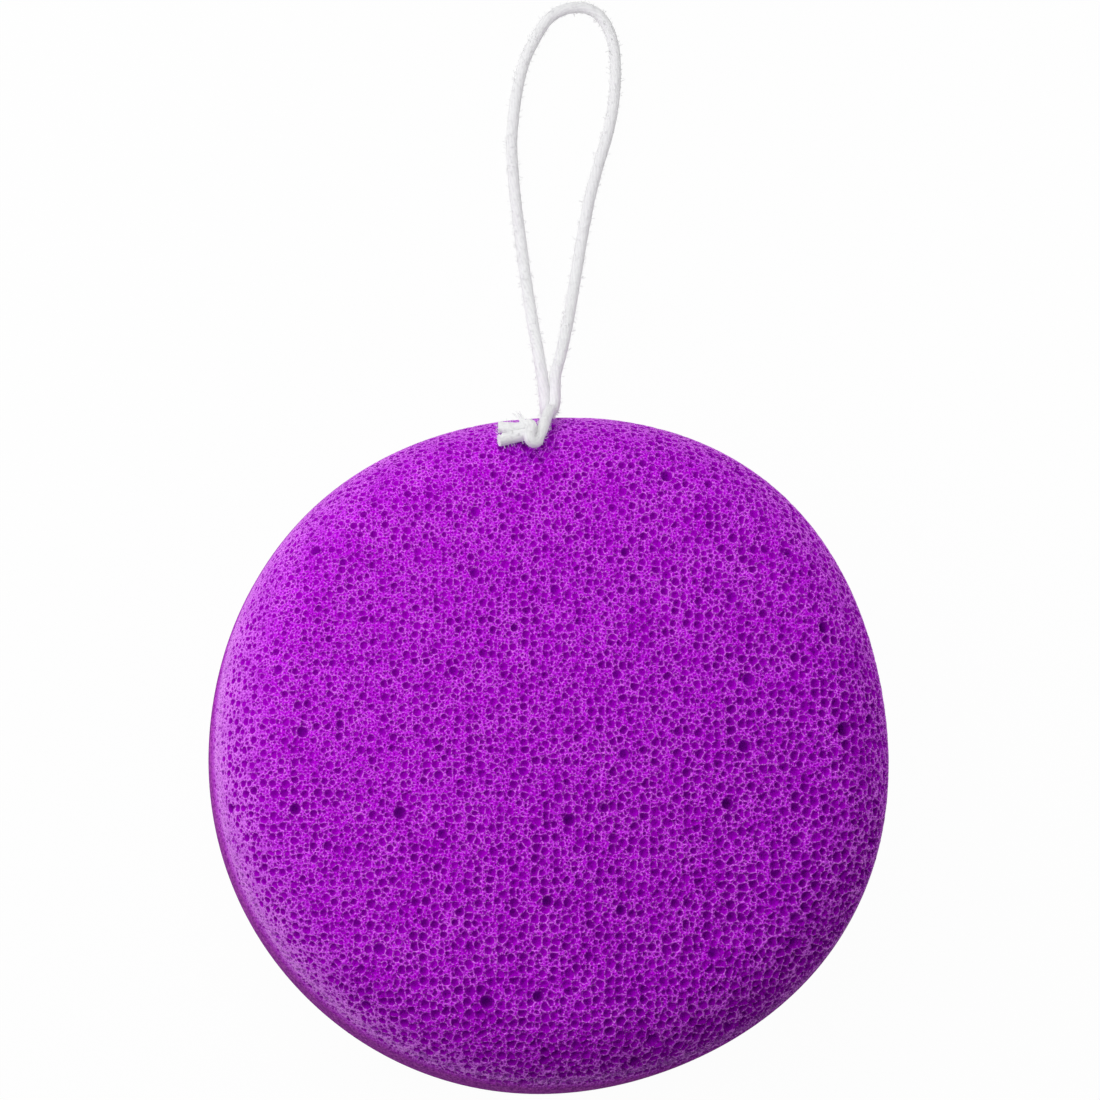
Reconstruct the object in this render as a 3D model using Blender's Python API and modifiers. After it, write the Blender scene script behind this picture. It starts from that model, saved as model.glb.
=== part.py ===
# Facial cleansing sponge with a hanging cord. Metres, +Z up.
# The round foam body lies on its flat back with its crowned front up. The cord is tied close to the rim on
# the +Y side, and its free loop lies on the table there. The origin is under the middle of the flat back.
import math

import bmesh
import bpy
from mathutils import Matrix, Vector

# Foam body
DIAMETER = 0.080
THICKNESS = 0.026
CROWN_RISE = 0.0012  # the middle of the front above the start of its shoulder
SHOULDER_WIDTH = 0.0092  # how far in from the side the front starts to roll over
SHOULDER_HEIGHT = 0.0100  # how far down the roll reaches before the side is upright
SIDE_DRAW_IN = 0.0008  # the side leans in this far on its way to the back
BACK_EDGE_RADIUS = 0.0060
CROWN_STEP_SHARES = (0.0, 0.25, 0.5, 0.72, 0.88)  # places across the crown, from the middle to the shoulder
SHOULDER_ARCS = (0, 12, 23, 33, 43, 53, 64, 76, 90)  # places round the shoulder, in degrees from straight up
BACK_EDGE_ARCS = (0, 30, 60, 90)

# The outline isn't a true circle: waves round the rim, each with its number of lobes, its height as a share
# of the radius and the bearing of its first crest in degrees.
OUTLINE_WAVE_SHARES = ((2, 0.0100, 84.0), (3, 0.0030, -172.0), (4, 0.0084, -146.0), (5, 0.0047, -107.0))
OUTLINE_POWER = 2.0  # the waves fade towards the middle by this power of the radius

# Cord
CORD_DIAMETER = 0.0014
CLEARANCE = 0.0003  # between any two pieces that touch
CORD_BEARING = 90.0  # degrees from +X round to the cord
PRESS_DEPTH = 0.0009  # how deep the tied cord pulls the foam in
PRESS_REACH = 0.0026  # how far round the cord the pucker reaches

# Knot on the front shoulder. An arc is an angle on the shoulder's curve, in degrees from straight up.
KNOT_DIAMETER = 0.0029
KNOT_SIDE = -0.0028  # sideways from the cord's bearing
KNOT_ARC = 29.0
KNOT_LENGTH_SHARE = 0.92  # the core along the cord's run, as a share of the knot's diameter
KNOT_WAIST_SHARE = 0.78  # and across it, where the wrap lies
WRAP_DIAMETER = 0.0012  # the turn of cord that is drawn tight round the knot
WRAP_TILT = 16.0

# Cut ends of the cord beyond the knot, the upper one and then the lower one
TAIL_LENGTHS = (0.0026, 0.0021)
TAIL_ARCS = (39.5, 29.5)
TAIL_TURNS = (3.0, -5.0)  # degrees that each turns up the slope as it leaves the knot
TAIL_FLARE_SHARE = 1.12  # a cut end against the cord's own width

# The strand from the knot over the rim: each arc on the shoulder, and how far it has come across to the neck
OVER_RIM_SHARES = ((50.0, 0.46), (64.0, 0.60), (78.0, 0.74))

# The hole that the cord runs through, from the front shoulder to the side
HOLE_SIDE = -0.0021
HOLE_ARC = 30.0
HOLE_START_DEPTH = 0.0011  # where the threaded stretch starts, below the foam's own form
SIDE_HOLE_SIDE = -0.0006
SIDE_HOLE_HEIGHT = 0.0099
HOLE_BEND = 0.0042  # room for the hole's turn from downwards to outwards
HOLE_TURN_SHARES = ((1.0, 0.85), (0.72, 0.16), (0.32, -0.06))  # inwards and upwards of the side hole

# The neck is where both strands come together outside the rim, and the loop's hinge axis runs through it
NECK_REACH = 0.0038  # out from the rim
NECK_HEIGHT = 0.0115
NECK_SIDE = -0.0002
NECK_DROOP = 10.0  # degrees below level that the strands leave the neck
NECK_BEND = 0.0019  # radius of each strand's bend into the neck
OVER_RIM_WAY = -82.0  # degrees above level that the strand from the knot comes down the side
THROUGH_FOAM_WAY = 48.0  # and that the strand from the hole comes up
BEND_STEP_SHARES = (0.0, 0.33, 0.67, 1.0)  # places round each bend
OVER_RIM_BESIDE_SHARES = (0.45, 0.20, 0.05)  # how far each place still is from the neck's own side
THROUGH_FOAM_BESIDE_SHARES = (0.60, 0.30, 0.10)
NECK_GAP = 0.0011  # from the fixed strands' ends to the axis, room for the loop's round ends to turn

TABLE_LIFT = 0.0001  # the loop's lowest cord clear of the table

# Free loop as it lies relaxed on the table: sideways and outwards from the neck, in metres, and how much of
# the way down from the neck to the table the cord has come there, as a share.
LOOP_ROUTE = (
    (0.0010, 0.0021, 0.03), (0.0017, 0.0048, 0.12), (0.0027, 0.0091, 0.38), (0.0039, 0.0146, 0.76),
    (0.0049, 0.0200, 0.97), (0.0056, 0.0238, 1.00), (0.0063, 0.0272, 1.00), (0.0072, 0.0306, 1.00),
    (0.0082, 0.0340, 1.00), (0.0089, 0.0375, 1.00), (0.0092, 0.0411, 1.00), (0.0091, 0.0445, 1.00),
    (0.0084, 0.0472, 1.00), (0.0072, 0.0490, 1.00), (0.0058, 0.0498, 1.00), (0.0043, 0.0499, 1.00),
    (0.0027, 0.0495, 1.00), (0.0013, 0.0486, 1.00), (0.0003, 0.0474, 1.00), (-0.0007, 0.0456, 1.00),
    (-0.0018, 0.0432, 1.00), (-0.0026, 0.0401, 1.00), (-0.0031, 0.0368, 1.00), (-0.0034, 0.0330, 1.00),
    (-0.0032, 0.0288, 1.00), (-0.0028, 0.0247, 1.00), (-0.0023, 0.0207, 0.98), (-0.0019, 0.0157, 0.81),
    (-0.0016, 0.0102, 0.45), (-0.0013, 0.0052, 0.14), (-0.0011, 0.0021, 0.03),
)

# Fineness of the faceted forms
BODY_STEPS = 56
GATHER_POWER = 1.6  # the body's facets gather round the cord by this power
LOOP_SPACING_SHARE = 2.2  # points along the loop, in cord diameters
SHORT_SPACING_SHARE = 0.6  # and along the short stretches
DOME_STEPS = 3  # rings on the loop's round ends
DOME_ARC = 86.0  # and how far round they close, in degrees
TUBE_BEVEL_STEPS = 2
CURVE_STEPS = 24  # between two points of a route
KNOT_FACETS = (20, 12)  # round and from end to end
WRAP_FACETS = (24, 12)  # round the turn and round its cord
SHARP_ANGLE = 50.0
WELD_SHARE = 0.01  # points closer than this share of the clearance are one point

RADIUS = DIAMETER / 2
CORD_RADIUS = CORD_DIAMETER / 2
KNOT_RADIUS = KNOT_DIAMETER / 2
SHOULDER_START = RADIUS - SHOULDER_WIDTH
SHOULDER_LEVEL = THICKNESS - CROWN_RISE - SHOULDER_HEIGHT  # height of the widest girth
LYING_OFFSET = CORD_RADIUS + CLEARANCE - PRESS_DEPTH / 2  # from the foam's own form to a cord pressed on it
STRAND_PITCH = CORD_DIAMETER + CLEARANCE


def clear_scene():
    for item in list(bpy.data.objects):
        bpy.data.objects.remove(item, do_unlink=True)


def new_collection(name):
    collection = bpy.data.collections.new(name)
    bpy.context.scene.collection.children.link(collection)
    return collection


def new_material(name, colour, roughness):
    material = bpy.data.materials.new(name)
    material.use_nodes = True
    shader = material.node_tree.nodes["Principled BSDF"]
    shader.inputs["Base Color"].default_value = (*colour, 1.0)
    shader.inputs["Roughness"].default_value = roughness
    shader.inputs["Metallic"].default_value = 0.0
    material.diffuse_color = (*colour, 1.0)
    return material


def new_object(name, data, collection):
    made = bpy.data.objects.new(name, data)
    collection.objects.link(made)
    return made


# Places worked out from the sizes


def widened(radius, bearing):
    """A radius of the turned form at a bearing in radians, moved by the outline's waves."""
    waves = sum(
        height * math.cos(lobes * bearing - math.radians(crest))
        for lobes, height, crest in OUTLINE_WAVE_SHARES
    )
    return radius * (1.0 + waves * (radius / RADIUS) ** OUTLINE_POWER)


def on_shoulder(arc, offset, side):
    """A point off the front shoulder in the cord's plane, and the way straight out of the foam there."""
    turn = math.radians(arc)
    out = widened(SHOULDER_START + SHOULDER_WIDTH * math.sin(turn), math.radians(CORD_BEARING))
    up = SHOULDER_LEVEL + SHOULDER_HEIGHT * math.cos(turn)
    normal = Vector((0.0, math.sin(turn) / SHOULDER_WIDTH, math.cos(turn) / SHOULDER_HEIGHT)).normalized()
    return Vector((side, out, up)) + normal * offset, normal


RIM_REACH = widened(RADIUS, math.radians(CORD_BEARING))
KNOT, KNOT_NORMAL = on_shoulder(KNOT_ARC, KNOT_RADIUS + CLEARANCE - PRESS_DEPTH, KNOT_SIDE)
NECK = Vector((NECK_SIDE, RIM_REACH + NECK_REACH, NECK_HEIGHT))
NECK_WAY = Vector((0.0, math.cos(math.radians(NECK_DROOP)), -math.sin(math.radians(NECK_DROOP))))
NECK_RIGHT = NECK + Vector((STRAND_PITCH / 2, 0.0, 0.0))  # the strand that comes over the rim
NECK_LEFT = NECK - Vector((STRAND_PITCH / 2, 0.0, 0.0))  # the strand that comes through the foam


def neck_bend(strand, from_way, radius):
    """Points of the bend that turns a strand into the neck's way, from a way in degrees above level."""
    end = strand - NECK_WAY * NECK_GAP
    side = math.copysign(90.0, -from_way)
    centre = end + up_and_out(side - NECK_DROOP) * radius
    ways = [from_way + (-NECK_DROOP - from_way) * share for share in BEND_STEP_SHARES]
    return [centre - up_and_out(side + way) * radius for way in ways]


def up_and_out(degrees):
    """The direction at an angle above level in the cord's plane."""
    return Vector((0.0, math.cos(math.radians(degrees)), math.sin(math.radians(degrees))))


def over_rim_route():
    """From the knot over the front shoulder, down the side and out to the neck."""
    down_slope = Vector((KNOT_NORMAL.z, KNOT_NORMAL.z, -KNOT_NORMAL.y)).normalized()
    points = [KNOT + down_slope * (KNOT_RADIUS + CLEARANCE)]
    for arc, across in OVER_RIM_SHARES:
        side = KNOT_SIDE + (NECK_RIGHT.x - KNOT_SIDE) * across
        points.append(on_shoulder(arc, LYING_OFFSET, side)[0])
    bend = neck_bend(NECK_RIGHT, OVER_RIM_WAY, NECK_BEND)
    for point, share in zip(bend, OVER_RIM_BESIDE_SHARES):
        point.x -= (NECK_RIGHT.x - points[-1].x) * share
    return points + bend


def through_foam_route():
    """From under the knot down through the foam, out of its side and up to the neck."""
    mouth, normal = on_shoulder(HOLE_ARC, -HOLE_START_DEPTH, HOLE_SIDE)
    side_mouth = Vector((SIDE_HOLE_SIDE, RIM_REACH, SIDE_HOLE_HEIGHT))
    turn = [
        side_mouth + Vector((0.0, -HOLE_BEND * inward, HOLE_BEND * up)) for inward, up in HOLE_TURN_SHARES
    ]
    turn[0].x = (mouth.x + side_mouth.x) / 2
    bend = neck_bend(NECK_LEFT, THROUGH_FOAM_WAY, NECK_BEND)
    for point, share in zip(bend, THROUGH_FOAM_BESIDE_SHARES):
        point.x -= (NECK_LEFT.x - side_mouth.x) * share
    below = mouth - (normal + Vector((0.0, 0.0, 1.0))).normalized() * CORD_DIAMETER
    return [mouth, below, below.lerp(turn[0], 0.5), *turn, side_mouth, *bend]


def tail_routes():
    """The two cut ends, each from where it comes off the knot's round side."""
    routes = []
    reach = KNOT_RADIUS + CLEARANCE
    for arc, turn, length in zip(TAIL_ARCS, TAIL_TURNS, TAIL_LENGTHS):
        start, normal = on_shoulder(arc, LYING_OFFSET, KNOT_SIDE)
        beside = min(max((start - KNOT).length - CORD_RADIUS, 0.0), reach)
        start.x -= math.sqrt(reach ** 2 - beside ** 2)
        slope = Vector((0.0, normal.z, -normal.y))
        way = Vector((-1.0, 0.0, 0.0)) + slope * math.tan(math.radians(turn))
        routes.append([start, start + way.normalized() * length])
    return routes


def loop_points():
    """The free loop with its two round ends, and each point's share of the cord's radius."""
    route = [NECK_RIGHT]
    for side, out, drop in LOOP_ROUTE:
        route.append(NECK + Vector((side, out, (CORD_RADIUS + TABLE_LIFT - NECK.z) * drop)))
    route.append(NECK_LEFT)
    points = smooth_route(route, CORD_DIAMETER * LOOP_SPACING_SHARE)
    shares = [1.0] * len(points)
    for step in range(1, DOME_STEPS + 1):
        turn = math.radians(DOME_ARC) * step / DOME_STEPS
        back = NECK_WAY * CORD_RADIUS * math.sin(turn)
        points = [NECK_RIGHT - back] + points + [NECK_LEFT - back]
        shares = [math.cos(turn)] + shares + [math.cos(turn)]
    return points, shares


def overrun(points, length):
    """The same points with both ends carried on straight, for a cutter that has to run out of the foam."""
    first = points[0] + (points[0] - points[1]).normalized() * length
    last = points[-1] + (points[-1] - points[-2]).normalized() * length
    return [first, *points, last]


def smooth_route(route, spacing):
    """Points at even spacing on a smooth curve through the route's own points."""
    ends = [2 * route[0] - route[1], *route, 2 * route[-1] - route[-2]]
    fine = [route[0]]
    for before, start, end, after in zip(ends, ends[1:], ends[2:], ends[3:]):
        for step in range(1, CURVE_STEPS + 1):
            t = step / CURVE_STEPS
            fine.append((
                2 * start + (end - before) * t + (2 * before - 5 * start + 4 * end - after) * t ** 2
                + (3 * start - before - 3 * end + after) * t ** 3
            ) / 2)
    reach = [0.0]
    for near, far in zip(fine, fine[1:]):
        reach.append(reach[-1] + (far - near).length)
    count = max(2, round(reach[-1] / spacing))
    even = [fine[0]]
    place = 0
    for step in range(1, count):
        target = reach[-1] * step / count
        while reach[place + 1] < target:
            place += 1
        share = (target - reach[place]) / (reach[place + 1] - reach[place])
        even.append(fine[place].lerp(fine[place + 1], share))
    return even + [fine[-1]]


# Turning curves and sections into meshes


def weld(mesh):
    working = bmesh.new()
    working.from_mesh(mesh)
    bmesh.ops.remove_doubles(working, verts=working.verts, dist=CLEARANCE * WELD_SHARE)
    bmesh.ops.recalc_face_normals(working, faces=working.faces)
    working.to_mesh(mesh)
    working.free()


def as_mesh(source, collection):
    """The evaluated object as a plain welded mesh object of the same name."""
    name = source.name
    bpy.context.view_layer.update()
    evaluated = source.evaluated_get(bpy.context.evaluated_depsgraph_get())
    mesh = bpy.data.meshes.new_from_object(evaluated)
    place = source.matrix_world.copy()
    bpy.data.objects.remove(source, do_unlink=True)
    weld(mesh)
    mesh.shade_smooth()
    mesh.set_sharp_from_angle(angle=math.radians(SHARP_ANGLE))
    made = new_object(name, mesh, collection)
    made.matrix_world = place
    return made


def tube(name, points, radius, collection, shares=None, origin=None):
    """A round tube with filled ends along the points."""
    origin = origin or Vector((0.0, 0.0, 0.0))
    curve = bpy.data.curves.new(name, "CURVE")
    curve.dimensions = "3D"
    curve.bevel_depth = radius
    curve.bevel_resolution = TUBE_BEVEL_STEPS
    curve.use_fill_caps = True
    spline = curve.splines.new("POLY")
    spline.points.add(len(points) - 1)
    for index, point in enumerate(points):
        spline.points[index].co = (*(point - origin), 1.0)
        spline.points[index].radius = shares[index] if shares else 1.0
    source = new_object(name, curve, collection)
    source.location = origin
    return as_mesh(source, collection)


def cut(target, cutter):
    cutter.hide_render = True
    cutter.display_type = "WIRE"
    boolean = target.modifiers.new("Cut " + cutter.name, "BOOLEAN")
    boolean.operation = "DIFFERENCE"
    boolean.solver = "EXACT"
    boolean.object = cutter


# The pieces


def body_profile():
    """Half of the section: the front, its shoulder, the side, the back's edge and the flat back."""
    points = []
    for share in CROWN_STEP_SHARES:
        points.append((SHOULDER_START * share, THICKNESS - CROWN_RISE * share ** 2))
    for arc in SHOULDER_ARCS:
        turn = math.radians(arc)
        points.append((
            SHOULDER_START + SHOULDER_WIDTH * math.sin(turn),
            SHOULDER_LEVEL + SHOULDER_HEIGHT * math.cos(turn),
        ))
    points.append((RADIUS - SIDE_DRAW_IN / 4, (SHOULDER_LEVEL + BACK_EDGE_RADIUS) / 2))
    for arc in BACK_EDGE_ARCS:
        turn = math.radians(arc)
        points.append((
            RADIUS - SIDE_DRAW_IN - BACK_EDGE_RADIUS * (1 - math.cos(turn)),
            BACK_EDGE_RADIUS * (1 - math.sin(turn)),
        ))
    points.append((0.0, 0.0))
    return points


def turned_body(parts):
    """The section turned about +Z with its profile on the +X side."""
    profile = body_profile()
    section = bpy.data.meshes.new("sponge_section")
    section.from_pydata(
        [(out, 0.0, up) for out, up in profile],
        [(index, index + 1) for index in range(len(profile) - 1)],
        [],
    )
    source = new_object("sponge_body", section, parts)
    screw = source.modifiers.new("Turn", "SCREW")
    screw.steps = BODY_STEPS
    screw.render_steps = BODY_STEPS
    screw.use_merge_vertices = True
    screw.merge_threshold = CLEARANCE * WELD_SHARE
    return as_mesh(source, parts)


def shape_body(body):
    """Gathers the facets round the cord, waves the outline and presses in the pucker under the tied cord."""
    bearing = math.radians(CORD_BEARING)
    seats = [KNOT, *over_rim_route()[:4]]
    for vertex in body.data.vertices:
        out = math.hypot(vertex.co.x, vertex.co.y)
        turn = math.atan2(vertex.co.y, vertex.co.x)
        turn = math.copysign(math.pi * (abs(turn) / math.pi) ** GATHER_POWER, turn) + bearing
        reach = widened(out, turn)
        place = Vector((reach * math.cos(turn), reach * math.sin(turn), vertex.co.z))
        if place.z > SHOULDER_LEVEL:
            near = min((place - seat).length for seat in seats)
            inward = Vector((0.0, -KNOT_NORMAL.y, -KNOT_NORMAL.z))
            place += inward * PRESS_DEPTH * math.exp(-((near / PRESS_REACH) ** 2))
        vertex.co = place


def make_knot(parts, cutters):
    """The tied knot: a core that the cord's run makes, with one turn drawn tight round it."""
    bpy.ops.mesh.primitive_uv_sphere_add(
        segments=KNOT_FACETS[0], ring_count=KNOT_FACETS[1], radius=KNOT_RADIUS,
    )
    core = bpy.context.object
    bpy.ops.mesh.primitive_torus_add(
        major_segments=WRAP_FACETS[0], minor_segments=WRAP_FACETS[1],
        major_radius=KNOT_RADIUS - WRAP_DIAMETER / 2, minor_radius=WRAP_DIAMETER / 2,
    )
    wrap = bpy.context.object
    along_x = Matrix.Rotation(math.radians(90.0), 4, "Y")
    tilted = Matrix.Rotation(math.radians(WRAP_TILT), 4, KNOT_NORMAL)
    core.data.transform(Matrix.Diagonal((KNOT_LENGTH_SHARE, KNOT_WAIST_SHARE, KNOT_WAIST_SHARE, 1.0)))
    wrap.data.transform(tilted @ along_x)
    for piece in (core, wrap):
        for owner in list(piece.users_collection):
            owner.objects.unlink(piece)
    parts.objects.link(core)
    cutters.objects.link(wrap)
    core.name = "cord_knot"
    wrap.name = "knot_wrap"
    core.location = KNOT
    wrap.location = KNOT
    join = core.modifiers.new("Wrap", "BOOLEAN")
    join.operation = "UNION"
    join.solver = "EXACT"
    join.object = wrap
    wrap.hide_render = True
    wrap.display_type = "WIRE"
    core.data.shade_smooth()
    wrap.data.shade_smooth()
    return core


def knot_pocket(cutters):
    """The pocket that the knot lies in, its own size and the clearance."""
    bpy.ops.mesh.primitive_uv_sphere_add(
        segments=KNOT_FACETS[0], ring_count=KNOT_FACETS[1], radius=KNOT_RADIUS + CLEARANCE,
    )
    pocket = bpy.context.object
    for owner in list(pocket.users_collection):
        owner.objects.unlink(pocket)
    cutters.objects.link(pocket)
    pocket.name = "knot_pocket"
    pocket.location = KNOT
    return pocket


def build():
    clear_scene()
    parts = new_collection("facial_cleansing_sponge")
    cutters = new_collection("cutters")
    foam = new_material("open_cell_foam", (0.33, 0.013, 0.39), 0.85)
    cotton = new_material("white_cotton_cord", (0.82, 0.82, 0.80), 0.9)

    body = turned_body(parts)
    shape_body(body)
    body.data.materials.append(foam)

    short = CORD_DIAMETER * SHORT_SPACING_SHARE
    fitted = CORD_RADIUS + CLEARANCE
    over_rim = smooth_route(over_rim_route(), short)
    through_foam = smooth_route(through_foam_route(), short)
    cords = [
        tube("cord_over_rim", over_rim, CORD_RADIUS, parts),
        tube("cord_through_foam", through_foam, CORD_RADIUS, parts),
    ]
    cut(body, tube("rim_groove", overrun(over_rim, CLEARANCE), fitted, cutters))
    cut(body, tube("cord_hole", overrun(through_foam, CORD_DIAMETER), fitted, cutters))
    for place, route in zip(("upper", "lower"), tail_routes()):
        cords.append(tube("cord_tail_" + place, route, CORD_RADIUS, parts, [1.0, TAIL_FLARE_SHARE]))
        flare = [1.0, 1.0, TAIL_FLARE_SHARE, TAIL_FLARE_SHARE]
        cut(body, tube("tail_groove_" + place, overrun(route, CLEARANCE), fitted, cutters, flare))
    cords.append(make_knot(parts, cutters))
    cut(body, knot_pocket(cutters))

    loop, shares = loop_points()
    cords.append(tube("hanging_loop", loop, CORD_RADIUS, parts, shares, origin=NECK))
    for piece in cords:
        piece.data.materials.clear()
        piece.data.materials.append(cotton)


build()
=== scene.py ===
import math
from functools import partial

import bpy
import numpy as np
from mathutils import Matrix, Vector


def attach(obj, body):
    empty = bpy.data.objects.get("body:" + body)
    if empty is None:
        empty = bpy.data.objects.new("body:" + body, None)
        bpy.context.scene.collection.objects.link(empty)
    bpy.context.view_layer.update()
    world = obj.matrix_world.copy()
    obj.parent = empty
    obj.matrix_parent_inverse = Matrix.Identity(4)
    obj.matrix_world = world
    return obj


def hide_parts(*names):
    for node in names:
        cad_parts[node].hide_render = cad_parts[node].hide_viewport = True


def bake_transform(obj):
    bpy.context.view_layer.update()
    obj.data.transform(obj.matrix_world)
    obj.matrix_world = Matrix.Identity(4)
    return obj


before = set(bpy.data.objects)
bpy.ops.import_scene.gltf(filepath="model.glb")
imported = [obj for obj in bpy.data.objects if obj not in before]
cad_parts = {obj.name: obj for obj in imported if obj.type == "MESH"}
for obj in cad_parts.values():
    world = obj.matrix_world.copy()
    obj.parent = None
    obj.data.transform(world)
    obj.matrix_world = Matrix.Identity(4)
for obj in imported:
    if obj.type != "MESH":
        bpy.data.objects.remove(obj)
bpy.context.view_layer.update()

print("frame loaded:", sorted(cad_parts))


# small helpers

def linear(hexColour):
    # an sRGB hex colour as the linear one that nodes want
    parts = [int(hexColour[i:i + 2], 16) / 255 for i in (1, 3, 5)]
    return tuple(c / 12.92 if c < 0.04045 else ((c + 0.055) / 1.055) ** 2.4 for c in parts) + (1.0,)


def addNode(tree, kind, inputs=(), out=0, **settings):
    # one node with its settings, and each input given as a value or as a socket to link
    node = tree.nodes.new(kind if "Node" in kind else "ShaderNode" + kind)
    for name, value in settings.items():
        setattr(node, name, value)
    for key, value in inputs.items() if isinstance(inputs, dict) else enumerate(inputs):
        if isinstance(value, bpy.types.NodeSocket):
            tree.links.new(value, node.inputs[key])
        else:
            node.inputs[key].default_value = value
    return node.outputs[out] if node.outputs else node


def newTree(name, sockets):
    # a geometry tree with named inputs: (name, kind, value)
    tree = bpy.data.node_groups.new(name, "GeometryNodeTree")
    tree.interface.new_socket(name="Geometry", in_out="INPUT", socket_type="NodeSocketGeometry")
    tree.interface.new_socket(name="Geometry", in_out="OUTPUT", socket_type="NodeSocketGeometry")
    for label, kind, value in sockets:
        tree.interface.new_socket(name=label, in_out="INPUT", socket_type=kind).default_value = value
    return tree, partial(addNode, tree), tree.nodes.new("NodeGroupInput").outputs


def newMaterial(name):
    material = bpy.data.materials.new(name)
    material.use_nodes = True
    tree = material.node_tree
    return material, partial(addNode, tree), tree.nodes["Principled BSDF"]


def endTree(tree, geometry, material):
    real = addNode(tree, "GeometryNodeRealizeInstances", (geometry,))
    finished = addNode(tree, "GeometryNodeSetMaterial", {"Geometry": real, "Material": material})
    addNode(tree, "NodeGroupOutput", (finished,))
    return tree


def bakedByTree(name, source, tree):
    # the tree's result on a mesh, as a plain mesh object at the origin
    holder = bpy.data.objects.new(name + "Source", source)
    bpy.context.scene.collection.objects.link(holder)
    modifier = holder.modifiers.new("tree", "NODES")
    modifier.node_group = tree
    bpy.context.view_layer.update()
    evaluated = holder.evaluated_get(bpy.context.evaluated_depsgraph_get())
    mesh = bpy.data.meshes.new_from_object(evaluated)
    bpy.data.objects.remove(holder, do_unlink=True)
    mesh.name = name
    piece = bpy.data.objects.new(name, mesh)
    bpy.context.scene.collection.objects.link(piece)
    print(name, "has", len(mesh.vertices), "points and", len(mesh.polygons), "faces")
    return piece


def storeValues(mesh, name, values):
    # a number or a vector for each point of a mesh
    kind, field = ("FLOAT", "value") if values.ndim == 1 else ("FLOAT_VECTOR", "vector")
    mesh.attributes.new(name, kind, "POINT").data.foreach_set(field, values.astype(np.float32).ravel())


def smoothStep(low, high, value):
    share = np.clip((value - low) / (high - low), 0.0, 1.0)
    return share * share * (3 - 2 * share)


def bell(value, width):
    return np.exp(-((value / width) ** 2))


# camera, where the photograph's stands: nearly overhead, a little below and to the left of the middle

view = {
    "place": (-0.0743, -0.1169, 0.8000),
    "target": (-0.0001, 0.02409, 0.0130),
    "pixelsPerMetre": 8489.0,  # at the target
    "frameWidth": 1100,
    "sensor": 36.0,
    "nearClip": 0.01,
}


def makeCamera():
    place, target = Vector(view["place"]), Vector(view["target"])
    ahead = (target - place).normalized()
    right = ahead.cross(Vector((0.0, 1.0, 0.0))).normalized()
    data = bpy.data.cameras.new("camera")
    data.sensor_width = view["sensor"]
    data.lens = view["sensor"] * view["pixelsPerMetre"] * (target - place).length / view["frameWidth"]
    data.clip_start = view["nearClip"]
    camera = bpy.data.objects.new("camera", data)
    bpy.context.scene.collection.objects.link(camera)
    turned = Matrix((right, right.cross(ahead), -ahead)).transposed()
    camera.matrix_world = Matrix.Translation(place) @ turned.to_4x4()
    bpy.context.scene.camera = camera


makeCamera()
print("camera placed")


# the cord's route in metres, as in the part's source but drawn a little closer together at the rim

cord = {
    "diameter": 0.0014,
    "plies": 3,
    "plyRadius": 0.00064,  # three soft plies that press into each other
    "plyOffset": 0.00005,
    "twistLength": 0.0051,  # one full turn of the plies
    "pathSpacing": 0.0005,
    "meshSpacing": 0.00022,
    "plySides": 14,
    "frayLength": 0.0036,  # of each cut end
    "fraySpread": 1.6,  # how many times further apart the plies lie there
    "frayFlat": 0.6,  # how flat they lie on the foam, from 0 to 1
    "fraySwell": 0.05,
    "uneven": 0.00055,  # how much longer or shorter one ply is cut than another
}

knot = {
    "centre": (-0.00280, 0.03537, 0.02427),
    "out": (0.0, 0.51608, 0.85654),  # straight off the foam
    # each point is left, towards the rim, and off the foam, from the knot's centre
    "upperStrand": (
        (0.00379, 0.00179, -0.00050), (0.00315, 0.00178, -0.00050), (0.00245, 0.00179, -0.00050),
        (0.00174, 0.00187, -0.00050), (0.00114, 0.00215, -0.00050), (0.00075, 0.00225, -0.00030),
        (0.00051, 0.00156, 0.00030), (0.00063, 0.00044, 0.00085), (0.00089, -0.00044, 0.00095),
        (0.00080, -0.00092, 0.00065), (0.00040, -0.00112, 0.00035), (-0.00008, -0.00080, 0.00020),
        (-0.00040, 0.00020, 0.00010),
    ),
    "lowerStrand": (
        (0.00006, 0.00088, -0.00105), (0.00030, 0.00062, -0.00055), (0.00067, 0.00045, -0.00020),
        (0.00113, 0.00054, -0.00015), (0.00184, 0.00041, -0.00020), (0.00254, 0.00026, -0.00030),
        (0.00324, 0.00008, -0.00035), (0.00389, -0.00007, -0.00035),
    ),
}

overRim = (  # from the knot to the neck
    (-0.00198, 0.03651, 0.02359), (-0.00148, 0.03787, 0.02156), (-0.00095, 0.03912, 0.01941),
    (-0.00056, 0.03986, 0.01698), (-0.00014, 0.04068, 0.01330), (0.00016, 0.04095, 0.01256),
    (0.00046, 0.04151, 0.01198), (0.00060, 0.04223, 0.01169), (0.00065, 0.04332, 0.01150),
)

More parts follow.
